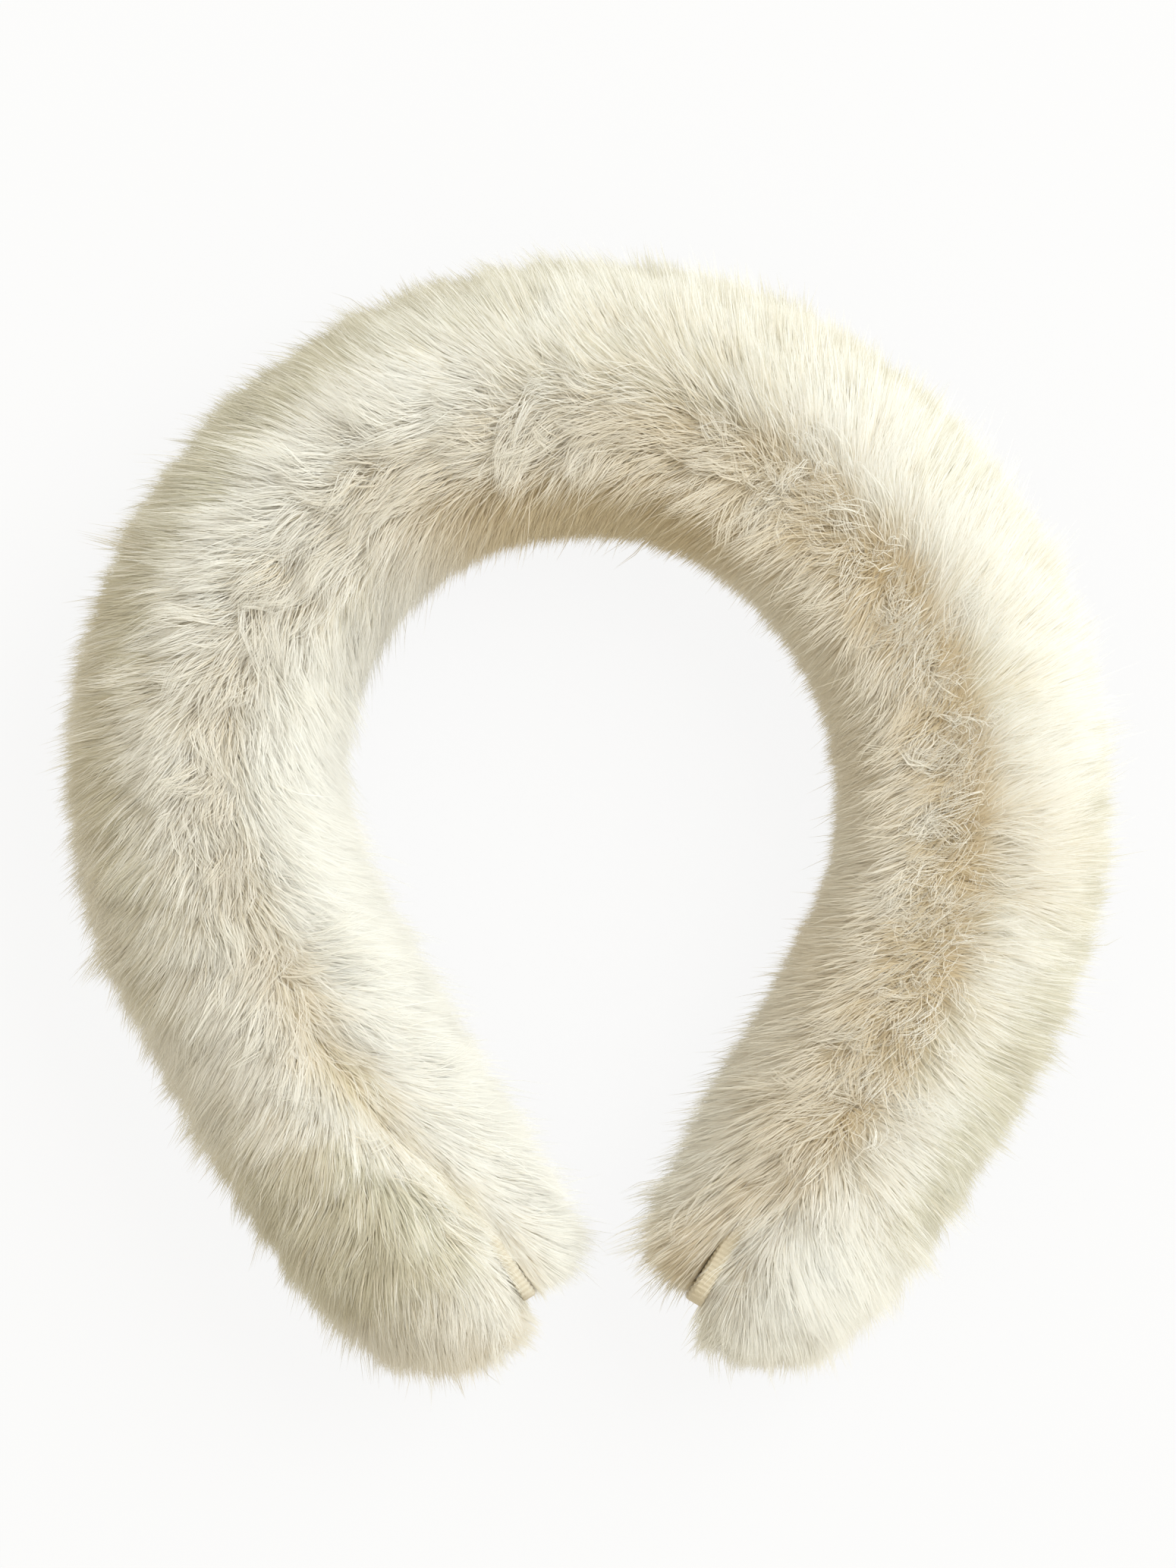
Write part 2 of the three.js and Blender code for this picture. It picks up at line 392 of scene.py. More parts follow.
def swell(obj, pressure, cap):
    """Cloth pressure fills the piece like stuffing; no point moves further than the cap."""
    before = vertices(obj)
    select(obj)
    bpy.ops.object.modifier_add(type="CLOTH")
    cloth = obj.modifiers[-1]
    cloth.settings.use_pressure = True
    cloth.settings.uniform_pressure_force = pressure
    cloth.settings.effector_weights.gravity = 0.0
    cloth.settings.quality = 5
    cloth.point_cache.frame_start = 1
    cloth.point_cache.frame_end = SWELL_FRAMES
    scene = bpy.context.scene
    for number in range(1, SWELL_FRAMES + 1):
        scene.frame_set(number)
    bpy.ops.object.modifier_apply(modifier=cloth.name)
    scene.frame_set(1)
    move = vertices(obj) - before
    length = np.linalg.norm(move, axis=1, keepdims=True)
    after = before + move * np.minimum(1.0, cap / np.maximum(length, 1e-9))
    obj.data.vertices.foreach_set("co", after.ravel())
    obj.data.update()


def draw_seam_in(obj):
    """Pull the backing down along the seam on top."""
    co = vertices(obj)
    normal = np.empty_like(co).ravel()
    obj.data.vertices.foreach_get("normal", normal)
    s, offset = LINE.nearest(co / MM)
    depth = np.interp(s, *np.array(SEAM_DEPTH, float).T)
    depth = depth * (1.0 - smooth(np.abs(offset - seam_offset(s)), 0.0, SEAM_REACH))
    co[:, 2] -= depth * smooth(normal.reshape(-1, 3)[:, 2], 0.0, 0.5) * MM
    obj.data.vertices.foreach_set("co", co.ravel())
    obj.data.update()


def band_mesh(name):
    """The band as one closed strip, ribbed across where it shows."""
    fine = np.arange(BAND_FROM_END, RIBBED_TO, RIB_PITCH / 4)
    corner = BAND_FROM_END + BAND_CORNER * (1.0 - np.cos(np.linspace(0.0, 1.0, 7) * math.pi / 2))
    ends = np.unique(np.concatenate([fine, corner]))
    plain = np.arange(RIBBED_TO, ROLL_LENGTH - RIBBED_TO, BAND_STEP)
    s = np.concatenate([ends, plain, (ROLL_LENGTH - ends)[::-1]])
    from_end = np.minimum(s, ROLL_LENGTH - s)
    xy, _, to_head = LINE.at(s)
    middle = xy + to_head * seam_offset(s)[:, None]
    inside = np.clip((from_end - BAND_FROM_END) / BAND_CORNER, 0.0, 1.0)
    inset = BAND_CORNER * (1.0 - np.sqrt(1.0 - (1.0 - inside) ** 2))
    rib = RIB_RISE * np.abs(np.sin(from_end * math.pi / RIB_PITCH)) * (from_end < RIBBED_TO)
    rib = rib * smooth(from_end, BAND_FROM_END, BAND_FROM_END + 0.8)
    half = np.interp(s, BAND_CHANGE, (BAND_THICK_LEFT / 2, BAND_THICK_RIGHT / 2)) - RIB_RISE + rib
    low, high = BAND_LOW + inset + RIB_RISE - rib, BAND_HIGH - inset - RIB_RISE + rib
    rings = []
    for angle in np.linspace(0.0, 2.0 * math.pi, BAND_AROUND, endpoint=False):
        across = np.sign(math.cos(angle)) * abs(math.cos(angle)) ** BAND_SQUARE
        up = np.sign(math.sin(angle)) * abs(math.sin(angle)) ** BAND_SQUARE
        side = middle + to_head * (half * across)[:, None]
        tall = (low + high) / 2 + up * (high - low) / 2
        rings.append(np.concatenate([side, tall[:, None]], 1))
    rings = np.stack(rings, 1)
    count, around = rings.shape[:2]
    faces = []
    for start in range(0, (count - 1) * around, around):
        for j in range(around):
            here, beside = start + j, start + (j + 1) % around
            faces.append((here, beside, beside + around, here + around))
    faces += [tuple(range(around))[::-1], tuple((count - 1) * around + j for j in range(around))]
    mesh = bpy.data.meshes.new(name)
    mesh.from_pydata((rings.reshape(-1, 3) * MM).tolist(), [], faces)
    # Painted shade: how light the ribbon is painted, darker at the right end and between the ribs.
    end_light = np.interp(s, BAND_CHANGE, BAND_END_LIGHT)
    put(mesh, "weave_and_shade", np.repeat(end_light * (0.25 + 0.75 * rib / RIB_RISE), around))
    obj = bpy.data.objects.new(name, mesh)
    bpy.context.collection.objects.link(obj)
    return obj


def body_surface(obj):
    """The triangles of a piece in mm: corners, corner normals and areas."""
    mesh = obj.data
    mesh.calc_loop_triangles()
    corners = np.empty(len(mesh.loop_triangles) * 3, int)
    mesh.loop_triangles.foreach_get("vertices", corners)
    corners = corners.reshape(-1, 3)
    normals = np.empty(len(mesh.vertices) * 3)
    mesh.vertices.foreach_get("normal", normals)
    points = vertices(obj)[corners] / MM
    normals = normals.reshape(-1, 3)[corners]
    cross = np.cross(points[:, 1] - points[:, 0], points[:, 2] - points[:, 0])
    return points, normals, np.linalg.norm(cross, axis=1) / 2


def unit(v):
    return v / np.maximum(np.linalg.norm(v, axis=-1, keepdims=True), 1e-9)


def dot(a, b):
    return (a * b).sum(-1, keepdims=True)


def smooth(x, low, high):
    """0 below low and 1 above high, with a smooth rise between."""
    t = np.clip((x - low) / (high - low), 0.0, 1.0)
    return t * t * (3.0 - 2.0 * t)


def stretch(s, rise, fall):
    """1 along a stretch, with a smooth rise over one pair of distances and a fall over another."""
    return smooth(s, *rise) * (1.0 - smooth(s, *fall))


def waves(points, size, rng, count=14):
    """A smooth field over points, about -1 to 1, whose bumps are about size mm across."""
    way = unit(rng.normal(size=(count, 3))) * rng.uniform(0.7, 1.4, (count, 1)) * math.pi / size
    phase = rng.uniform(0.0, 2.0 * math.pi, count)
    return np.sin(points @ way.T + phase).sum(1) * math.sqrt(2.0 / count) * 0.7


# Seeds of the smooth fields that the whole coat shares: the lie, the locks, the length, the tan and the tone.
LIE_SEED, LOCK_SEED, LENGTH_SEED, TAN_SEED, TONE_SEED = 41, 55, 56, 77, 78

# How much thinner the coat is underneath, the distance in mm from an end within which the seam's bare line
# goes round to the underside, how low a strand may reach in mm, and how far in degrees the strands beside
# the ribbon slant towards its end.
THINNER_BELOW = 0.72
BARE_ROUND_END = 26.0
LEAST_HEIGHT = 0.25
END_SLANT = 80.0

# How far the fur slants from straight away from the seam towards the left end, in degrees, on the outer
# and the inner half, by the distance from the left end.
SLANTS = (
    (0, 70, 60), (15, 66, 58), (60, 42, 52), (120, 50, 52), (150, 42, 70), (170, 38, 82), (200, 42, 75),
    (225, 45, 52), (250, 46, 42), (280, 42, 22), (310, 30, 0), (345, 20, -28), (390, 6, -42),
    (420, -10, -55), (445, -45, -64), (474, -70, -74),
)


def left_inner(s, aside):
    """1 on the inner half of the left arm, 0 elsewhere."""
    return smooth(aside, 1.0, 5.0) * (1.0 - smooth(s, 125.0, 170.0))


class Coat:
    """Roots on the backing, the way the fur lies there, and masks from 0 to 1 for its regions."""

    def __init__(self, body, count, seed, share_at=None):
        rng = np.random.default_rng(seed)
        points, normals, area = body_surface(body)
        middle = points.mean(1)
        facing = unit(normals.mean(1))
        share = area * (1.0 - THINNER_BELOW * np.clip((-facing[:, 2] - 0.2) / 0.6, 0.0, 1.0))
        if share_at is not None:
            s, offset = LINE.nearest(middle)
            share = share * share_at(s, offset - seam_offset(s), facing)
        picked = rng.choice(len(area), count, p=share / share.sum())
        a, b = rng.random((2, count))
        over = a + b > 1.0
        a[over], b[over] = 1.0 - a[over], 1.0 - b[over]
        weight = np.stack([1.0 - a - b, a, b], -1)[..., None]
        root = (points[picked] * weight).sum(1)
        normal = unit((normals[picked] * weight).sum(1))
        s, offset = LINE.nearest(root)
        aside = offset - seam_offset(s)
        from_end = np.minimum(s, ROLL_LENGTH - s)
        bare = np.interp(s, *np.array(SEAM_BARE, float).T)
        keep = ~((np.abs(aside) < bare) & ((normal[:, 2] > -0.2) | (from_end < BARE_ROUND_END)))
        self.rng = rng
        self.root, self.normal = root[keep], normal[keep]
        self.s, self.aside, self.from_end = s[keep], aside[keep], from_end[keep]
        self.count = int(keep.sum())
        # The area in square mm that most of the hairs stand on.
        self.spread = float(area[share > 0.3 * share.max() * area / area.max()].sum())
        _, along, to_head = LINE.at(self.s)
        level = np.zeros((self.count, 1))
        self.onward = np.concatenate([along, level], 1)
        self.headward = np.concatenate([to_head, level], 1)
        self.tipward = self.onward * np.where(self.s < ROLL_MIDDLE, -1.0, 1.0)[:, None]
        self.mask_regions()

    def mask_regions(self):
        """Set the masks, by the distances in mm along the roll, from its ends and from the seam."""
        s, aside, from_end, up = self.s, self.aside, self.from_end, self.normal[:, 2]
        # Beside the ribbon at both ends, where the fur is short and lies along it.
        by_band = 1.0 - smooth(from_end, 24.0, 36.0)
        self.by_band = by_band * (1.0 - smooth(np.abs(aside), 2.5, 6.0))
        # The fur near both ends, on the left arm only on its inner half, painted paler as painted light in
        # place of light from below.
        inner_left = np.where(s < 99.0, smooth(aside, 0.0, 5.0), 1.0)
        self.pale = (1.0 - smooth(from_end, 18.0, 60.0)) * inner_left
        # The sleek wall that faces the head, from the crown to the right arm.
        turned_in = smooth(dot(self.normal, self.headward)[:, 0], 0.0, 0.5)
        self.wall = turned_in * smooth(aside, 3.0, 8.0) * stretch(s, (165.0, 225.0), (400.0, 450.0))
        # The groove on the inner side of the left arm's seam.
        cleft = smooth(aside, -0.5, 0.5) * (1.0 - smooth(aside, 2.5, 6.0))
        self.cleft = stretch(s, (12.0, 30.0), (70.0, 100.0)) * cleft
        # The inner half of the left arm, which faces the key light: it is sleeker, and painted paler as
        # painted light.
        self.bright = left_inner(s, aside)
        # The round ends themselves.
        self.tip = 1.0 - smooth(from_end, 11.0, 24.0)
        # The underside, the outer rim above it, and the notch's walls below.
        self.below = smooth(-up, -0.25, 0.25)
        self.rim = smooth(-aside, 8.0, 14.0) * (1.0 - smooth(up, 0.1, 0.75)) * (1.0 - self.below)
        self.notch = (1.0 - smooth(from_end, 14.0, 26.0)) * smooth(-up, 0.1, 0.4)
        # Where the hairs lie evenly, without locks.
        outside = smooth(-aside, 3.0, 8.0) * stretch(s, (140.0, 200.0), (400.0, 430.0))
        calm = np.maximum(np.maximum(0.9 * self.wall, 0.75 * self.bright), 0.6 * outside)
        self.calm = calm * (1.0 - self.rim)
        # The hollow under the crown's inner edge, which is painted tan and darker as painted shade.
        self.hollow = smooth(aside, 3.0, 9.0) * stretch(s, (190.0, 235.0), (265.0, 300.0))
        # The top of the left arm outside its seam.
        self.ridge = (1.0 - smooth(s, 60.0, 80.0)) * (1.0 - smooth(-aside, 6.0, 10.0))

    def flow(self, wander):
        """The direction in the surface that the fur is brushed in."""
        over = unit(np.cross(self.onward, self.normal))
        loose = 0.2 + 2.8 * stretch(self.s, (40.0, 150.0), (405.0, 440.0))
        aside = self.aside + self.rng.normal(0.0, 1.0, self.count) * loose
        turned = dot(self.normal, self.headward)[:, 0]
        turned = turned + self.rng.normal(0.0, 0.3, self.count)
        aside = np.where(self.from_end < 11.0, np.where(turned > 0.1, 6.0, -6.0), aside)
        side = np.sign(aside)[:, None]
        near = smooth(np.abs(aside), 0.0, 5.0)[:, None]
        table = np.array(SLANTS, float)
        outer, inner = (np.interp(self.s, table[:, 0], table[:, k]) for k in (1, 2))
        slant = np.where(aside > 0, inner, outer)
        field = np.random.default_rng(LIE_SEED)
        slant = slant + wander * (waves(self.root, 16.0, field) + 0.7 * waves(self.root, 6.0, field))
        to_end = np.where(self.s < ROLL_MIDDLE, END_SLANT, -END_SLANT)
        slant = slant + (to_end - slant) * self.by_band
        slant = np.radians(slant)[:, None]
        way = over * side * (0.3 + 0.7 * near) * np.cos(slant) - self.onward * np.sin(slant)
        way[:, 2] -= 0.12
        way = way - self.normal * dot(way, self.normal)
        return unit(way)


def spin(vectors, axes, angle):
    """Vectors turned about unit axes by angles in radians."""
    c, s = np.cos(angle), np.sin(angle)
    return vectors * c + np.cross(axes, vectors) * s + axes * dot(axes, vectors) * (1.0 - c)


def strands(coat, length, lean, segments, clumps, wander=12.0, curl=0.0, frizz=0.0, stray=0.0):
    """Points along every strand in mm: strand, station from the root to the tip, xyz.

    lean is the angle from the normal at the root, the one at the tip and their spread, in degrees. Each of
    the clumps is a spacing in mm and how far strands are drawn to the nearest of the clump's heads.
    """
    rng, n = coat.rng, coat.count
    way = coat.flow(wander)
    up = coat.normal[:, 2]
    end_on = smooth(dot(coat.normal, coat.tipward)[:, 0], 0.25, 0.85)
    flatter = (1.0 - 0.15 * coat.by_band) * (1.0 + 0.16 * smooth(up, 0.2, 0.8))
    flatter = flatter * (1.0 - 0.12 * coat.wall)
    low, high = (
        np.radians((angle - 8.0 * end_on) * flatter + rng.normal(0.0, lean[2], n))[:, None]
        for angle in lean[:2]
    )
    size = length * (1.0 + rng.normal(0.0, 0.12, n) + 0.3 * (rng.random(n) < stray))
    uneven = waves(coat.root, 4.0, np.random.default_rng(LENGTH_SEED))
    size = size * (1.0 + 0.14 * uneven * (1.0 - coat.wall))
    shorter = (
        (0.14, coat.rim), (0.45, smooth(-up, 0.3, 0.8)), (0.55, coat.notch), (0.4, coat.by_band),
        (0.3, coat.cleft), (0.2, coat.wall), (0.16, end_on),
    )
    for share, mask in shorter:
        size = size * (1.0 - share * mask)
    size = size[:, None]
    swing = np.radians(rng.normal(0.0, 8.0, n) * (1.0 - 0.7 * coat.by_band))[:, None]
    curl = np.broadcast_to(curl, n)
    lock = waves(coat.root, 5.0, np.random.default_rng(LOCK_SEED))
    twirl = np.radians(curl * (0.6 * lock + rng.normal(0.0, 0.6, n)))[:, None]
    frizz = np.broadcast_to(frizz, n)[:, None]
    place = coat.root
    path = [place]
    for k in range(segments):
        u = (k + 0.5) / segments
        angle = low + (high - low) * u
        step = coat.normal * np.cos(angle) + way * np.sin(angle)
        step = spin(step, coat.normal, swing + twirl * u)
        step = unit(step + rng.normal(0.0, 1.0, (n, 3)) * frizz)
        place = place + step * size / segments
        path.append(place)
    path = np.stack(path, 1)
    u = np.linspace(0.0, 1.0, segments + 1)[None, :, None]
    calm = ((1.0 - coat.calm) * (1.0 - 0.8 * coat.by_band))[:, None, None]
    for spacing, strength in clumps:
        heads = rng.choice(n, min(n // 2, int(coat.spread / spacing**2)), replace=False)
        tree = KDTree(len(heads))
        for i, spot in enumerate(coat.root[heads]):
            tree.insert(spot, i)
        tree.balance()
        own = heads[np.array([tree.find(spot)[1] for spot in coat.root])]
        path = path + (path[own] - path) * strength * calm * u**1.5
    path[..., 2] = np.maximum(path[..., 2], LEAST_HEIGHT)
    return path


# The strands' layout for baking: a column for each step of tone, a row for each of tan, along which a
# strand runs from its root to its tip, and the share of a cell left free round it.
TONES, TANS = 32, 16
CELL_ASIDE, CELL_ENDS = 0.1, 0.06


def ribbons(name, coat, path, width, twist, soft, tone, tan, paint, shadow=True):
    """Every strand as a thin flat ribbon that runs out to a point, all in one piece.

    width is in mm, twist the most that a ribbon is turned about itself in degrees, and soft the share of the
    backing's normal in the strands' own, so that the coat is lit as one soft surface.
    """
    n, stations, _ = path.shape
    rng = coat.rng
    direction = unit(np.gradient(path, axis=1))
    up = coat.normal[:, 2]
    flank = (1.0 - smooth(up, 0.3, 0.8)) * smooth(up, -0.9, -0.3)
    out = coat.normal + flank[:, None] * (0.0, 0.0, 0.8)
    side = unit(np.cross(direction, out[:, None]))
    facing = unit(np.cross(side, direction))
    turn = np.radians(rng.uniform(-twist, twist, n) * (1.0 - 0.5 * flank))[:, None, None]
    across = side * np.cos(turn) + facing * np.sin(turn)
    own = unit(np.cross(across, direction))
    taper = (1.0 - np.linspace(0.0, 1.0, stations) ** 1.6)[None, :, None]
    half = (width * rng.normal(1.0, 0.15, n).clip(0.5, 1.6) / 2)[:, None, None] * taper
    pairs = np.stack([path - across * half, path + across * half], 2)[:, :-1].reshape(n, -1, 3)
    verts = np.concatenate([pairs, path[:, -1:]], 1)
    per = verts.shape[1]
    own = own * np.where(dot(own, facing) < 0, -1.0, 1.0)
    # Normals bent towards the light where deep pile glows.
    lift = coat.bright[:, None] * (0.4, 0.2, 0.2) + coat.pale[:, None] * (0.25, 0.05, 0.35)
    lift = lift + coat.wall[:, None] * (0.0, 0.0, 0.25) + coat.tip[:, None] * (0.0, 0.0, 0.5)
    lift = lift + smooth(-up, 0.0, 0.5)[:, None] * (0.0, 0.0, 0.6)
    normals = unit(unit(coat.normal + lift)[:, None] * soft + own * (1.0 - soft))
    normals = unit(normals - direction * dot(normals, direction) * 0.1)
    pair_normals = np.repeat(normals[:, :-1], 2, axis=1)
    normals = np.concatenate([pair_normals, normals[:, -1:]], 1).reshape(-1, 3)
    quads = [(2 * k, 2 * k + 1, 2 * k + 3, 2 * k + 2) for k in range(stations - 2)]
    last = 2 * (stations - 2)
    faces = np.array([i for quad in quads for i in quad] + [last, last + 1, per - 1])
    loops = ((np.arange(n) * per)[:, None] + faces).ravel().astype(np.int32)
    sizes = np.tile([4] * len(quads) + [3], n)
    mesh = bpy.data.meshes.new(name)
    mesh.vertices.add(n * per)
    mesh.vertices.foreach_set("co", (verts.reshape(-1, 3) * MM).astype(np.float32).ravel())
    mesh.loops.add(len(loops))
    mesh.loops.foreach_set("vertex_index", loops)
    mesh.polygons.add(len(sizes))
    mesh.polygons.foreach_set("loop_start", np.concatenate(([0], np.cumsum(sizes)[:-1])).astype(np.int32))
    mesh.polygons.foreach_set("loop_total", sizes.astype(np.int32))
    mesh.update(calc_edges=True)
    mesh.polygons.foreach_set("use_smooth", np.ones(len(sizes), bool))
    along = np.concatenate([np.repeat(np.linspace(0, 1, stations)[:-1], 2), [1.0]])
    tone = np.clip(tone * TONES, 0, TONES - 1).astype(int)
    tan = np.clip(tan * TANS, 0, TANS - 1).astype(int)
    put(mesh, "along", np.tile(along, n))
    put(mesh, "tone", np.repeat((tone + 0.5) / TONES, per))
    put(mesh, "tan", np.repeat((tan + 0.5) / TANS, per))
    u = np.concatenate([np.tile([CELL_ASIDE, 1.0 - CELL_ASIDE], stations - 1), [0.5]])
    u = (tone[:, None] + u) / TONES
    v = (tan[:, None] + CELL_ENDS + (1.0 - 2.0 * CELL_ENDS) * along) / TANS
    layer = mesh.uv_layers.new(name="OFBake")
    layer.data.foreach_set("uv", np.stack([u, v], -1).reshape(-1, 2)[loops].astype(np.float32).ravel())
    mesh.normals_split_custom_set_from_vertices(normals)
    obj = bpy.data.objects.new(name, mesh)
    bpy.context.collection.objects.link(obj)
    mesh.materials.append(paint)
    obj.visible_shadow = shadow
    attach(obj, "root")


def put(mesh, name, values):
    """Store one number for each vertex."""
    attribute = mesh.attributes.new(name, "FLOAT", "POINT")
    attribute.data.foreach_set("value", values.astype(np.float32))


def matted(s, aside):
    """Where the fur is matted and tan: a band along the seam on the right, 0 to 1."""
    return stretch(s, (250.0, 310.0), (405.0, 440.0)) * (1.0 - smooth(np.abs(aside - 1.0), 2.0, 6.0))


def tan_and_shade_of(coat):
    """How tan each strand is, 0 to 1: the matted band and random patches, plus painted shade.

    The painted shade lies along the seam's crease, on the outer side of the left arm, on the inner wall,
    in the hollow and on the inner side of the right end; there is less tan underneath, as painted light.
    """
    s, aside = coat.s, coat.aside
    field = np.random.default_rng(TAN_SEED)
    band = matted(s, aside) * (0.5 + 0.35 * waves(coat.root, 8.0, field))
    # Painted shade along the seam's crease, partly the darker undercoat at the parting, less on the lit inner
    # left arm and on the ridge; then painted shade on the outer side of the left arm, away from the key
    # light.
    seam = 0.2 + 0.2 * smooth(s, 160.0, 240.0)
    seam = seam * (1.0 - smooth(np.where(aside < 1.0, 1.8 * (1.0 - aside), aside - 1.0), 2.0, 9.0))
    seam = seam * (1.0 - 0.75 * coat.bright) * (1.0 - 0.6 * coat.ridge * smooth(-aside, 0.0, 1.5))
    side = 0.2 * (1.0 - smooth(s, 140.0, 185.0)) * (1.0 - smooth(aside, 0.0, 4.0))
    seam = seam + side * (1.0 - coat.ridge)
    # Random tan patches, and painted shade on the inner wall, in the hollow and on the inner side of the
    # right end.
    patch = 0.05 + 0.07 * waves(coat.root, 20.0, field) + 0.44 * coat.wall * (1.0 - coat.pale)
    patch = patch * (1.0 - 0.8 * coat.bright) + 0.5 * coat.hollow
    patch = patch + 0.2 * smooth(s, 415.0, 445.0) * smooth(aside, 0.0, 5.0)
    # Less tan underneath, as painted light on the shaded underside.
    tan = (band + seam + patch) * (1.0 - 0.7 * coat.below)
    return np.clip(tan + coat.rng.normal(0.0, 0.05, coat.count), 0.0, 1.0)


# Painted light and shade: how much paler the fur is, or greyer below 0, on its outer half and more on its
# outer rim, by the distance from the left end, following where the key light falls and where it does not.
OUTSIDE_LIGHT_AND_SHADE = (
    (0, 0.15, 0.1), (21, 0.1, 0.15), (38, -0.65, 0.0), (52, -0.7, 0.0), (68, 0.0, 0.0), (80, 0.05, 0.0),
    (125, -0.2, 0.15), (150, -0.2, -0.1), (185, -0.5, -0.75), (215, -0.2, -0.5), (260, -0.15, -0.15),
    (300, -0.15, -0.3), (340, 0.0, -0.3), (380, -0.15, -0.35), (415, -0.65, -0.35), (435, -0.25, -0.25),
    (457, -0.1, -0.15), (474, 0.1, 0.0),
)

# The same painted light and shade on the shoulder just outside the seam.
SHOULDER_LIGHT_AND_SHADE = (
    (0, 0.0), (48, 0.1), (62, 0.4), (76, 0.2), (110, 0.0), (165, 0.1), (190, 0.35), (206, 0.35),
    (226, 0.0), (242, -0.25), (268, -0.15), (290, 0.0), (474, 0.0),
)


def light_and_tone_of(coat, spread):
    """How light each strand is, 0 to 1: random by the strand and in waves, with painted light and shade by
    place.

    It is painted paler on the lit inner left arm, at the ends, on the inner wall and underneath, darker in
    the hollow, and paler or greyer on the outer side and its rim as the two tables above give.
    """
    s, outward = coat.s, -coat.aside
    field = np.random.default_rng(TONE_SEED)
    table = np.array(OUTSIDE_LIGHT_AND_SHADE)
    outer, rim = (np.interp(s, table[:, 0], table[:, k]) for k in (1, 2))
    return np.clip(
        0.5
        + outer * smooth(outward - np.interp(s, (90.0, 140.0), (1.5, 8.0)), 0.0, 6.0)
        + rim * coat.rim
        + np.interp(s, *np.array(SHOULDER_LIGHT_AND_SHADE).T) * stretch(outward, (0.5, 3.0), (8.0, 13.0))
        - 0.4 * coat.hollow
        + 0.12 * waves(coat.root, 12.0, field) * (1.0 - coat.calm)
        + 0.5 * np.maximum(coat.bright, coat.pale)
        + 0.2 * coat.wall * (1.0 - coat.hollow)
        + 0.4 * coat.below
        + coat.rng.normal(0.0, spread, coat.count) * (1.0 - 0.5 * coat.calm),
        0.0,
        1.0,
    )


def guard_share(s, aside, facing):
    """Where the long sleek hairs stand: everywhere, but few on the inner wall and half on the left inside."""
    wall = smooth(aside, 5.0, 9.0) * smooth(s, 150.0, 215.0) * (1.0 - smooth(s, 385.0, 420.0))
    return 1.0 - 0.85 * wall * (1.0 - smooth(facing[:, 2], 0.6, 0.95)) - 0.5 * left_inner(s, aside)


def tuft_share(s, aside, facing):
    """Where the long tufts stand: beside the seam, above all on its inner side."""
    inner = 1.0 - smooth(aside, 5.0, 10.0)
    outer = (1.0 - smooth(-aside, 4.0, 9.0)) * (0.4 + 0.6 * (1.0 - smooth(s, 150.0, 260.0)))
    clear = stretch(s, (60.0, 100.0), (425.0, 440.0)) + smooth(np.abs(aside), 5.0, 9.0)
    return np.where(aside > 0, inner, outer) * smooth(facing[:, 2], 0.1, 0.5) * np.minimum(clear, 1.0)


# ---------------------------------------------------------------- settings


class HeadbandSettings(bpy.types.PropertyGroup):
    """The sizes and colours of the headband."""

    voxel: FloatProperty(
        name="Remesh voxel", description="Voxel size that the stuffed backing is remeshed at",
        default=0.004, min=0.002, max=0.01, unit="LENGTH",
    )
    pressure: FloatProperty(
        name="Stuffing pressure", description="Cloth pressure that swells the backing", default=4.0,
    )
    swell_cap: FloatProperty(
        name="Swell limit", description="Furthest that a point of the backing may move",
        default=0.003, unit="LENGTH",
    )
    pile: FloatProperty(
        name="Pile length", description="Length of the long guard hairs", default=0.0152, unit="LENGTH",
    )
    undercoat: FloatProperty(
        name="Undercoat length", description="Length of the short dense hairs", default=0.0118,
        unit="LENGTH",
    )
    guard_count: IntProperty(name="Guard hairs", description="Number of long hairs", default=38000)
    tuft_count: IntProperty(
        name="Tuft hairs", description="Number of hairs in the tufts by the seam", default=14000,
    )
    under_count: IntProperty(name="Undercoat hairs", description="Number of short hairs", default=560000)
    root_colour: FloatVectorProperty(
        name="Root colour", description="Colour of the fibres at the root", subtype="COLOR",
        default=(0.84, 0.72, 0.50),
    )
    tip_colour: FloatVectorProperty(
        name="Tip colour", description="Colour of the fibres at the tip", subtype="COLOR",
        default=(0.975, 0.975, 0.945),
    )
    # Painted shade: the grey that the shaded outer side, rim and hollow of the fur are painted with.
    shade_colour: FloatVectorProperty(
        name="Shade colour", description="Colour of the greyer fibres round the outside", subtype="COLOR",
        default=(0.74, 0.725, 0.60),
    )
    # Both the matted tan by the seam and the painted shade on the inner wall, in the hollow, along the seam
    # and on the shaded sides.
    tan_and_shade_colour: FloatVectorProperty(
        name="Tan colour", description="Colour of the matted fibres by the seam", subtype="COLOR",
        default=(0.725, 0.585, 0.365),
    )
    ribbon_colour: FloatVectorProperty(
        name="Ribbon colour", description="Colour of the band's ribbon cover", subtype="COLOR",
        default=(0.87, 0.83, 0.72),
    )
    # Painted shade: the colour in the grooves between the ribs and over the shaded right end.
    ribbon_shade: FloatVectorProperty(
        name="Ribbon shade", description="Colour between the ribbon's ribs", subtype="COLOR",
        default=(0.68, 0.60, 0.46),
    )
    floor_colour: FloatVectorProperty(
        name="Floor colour", description="Colour of the studio floor", subtype="COLOR",
        default=(0.06, 0.06, 0.06),
    )


# ---------------------------------------------------------------- operators

BASE_PIECES = 3


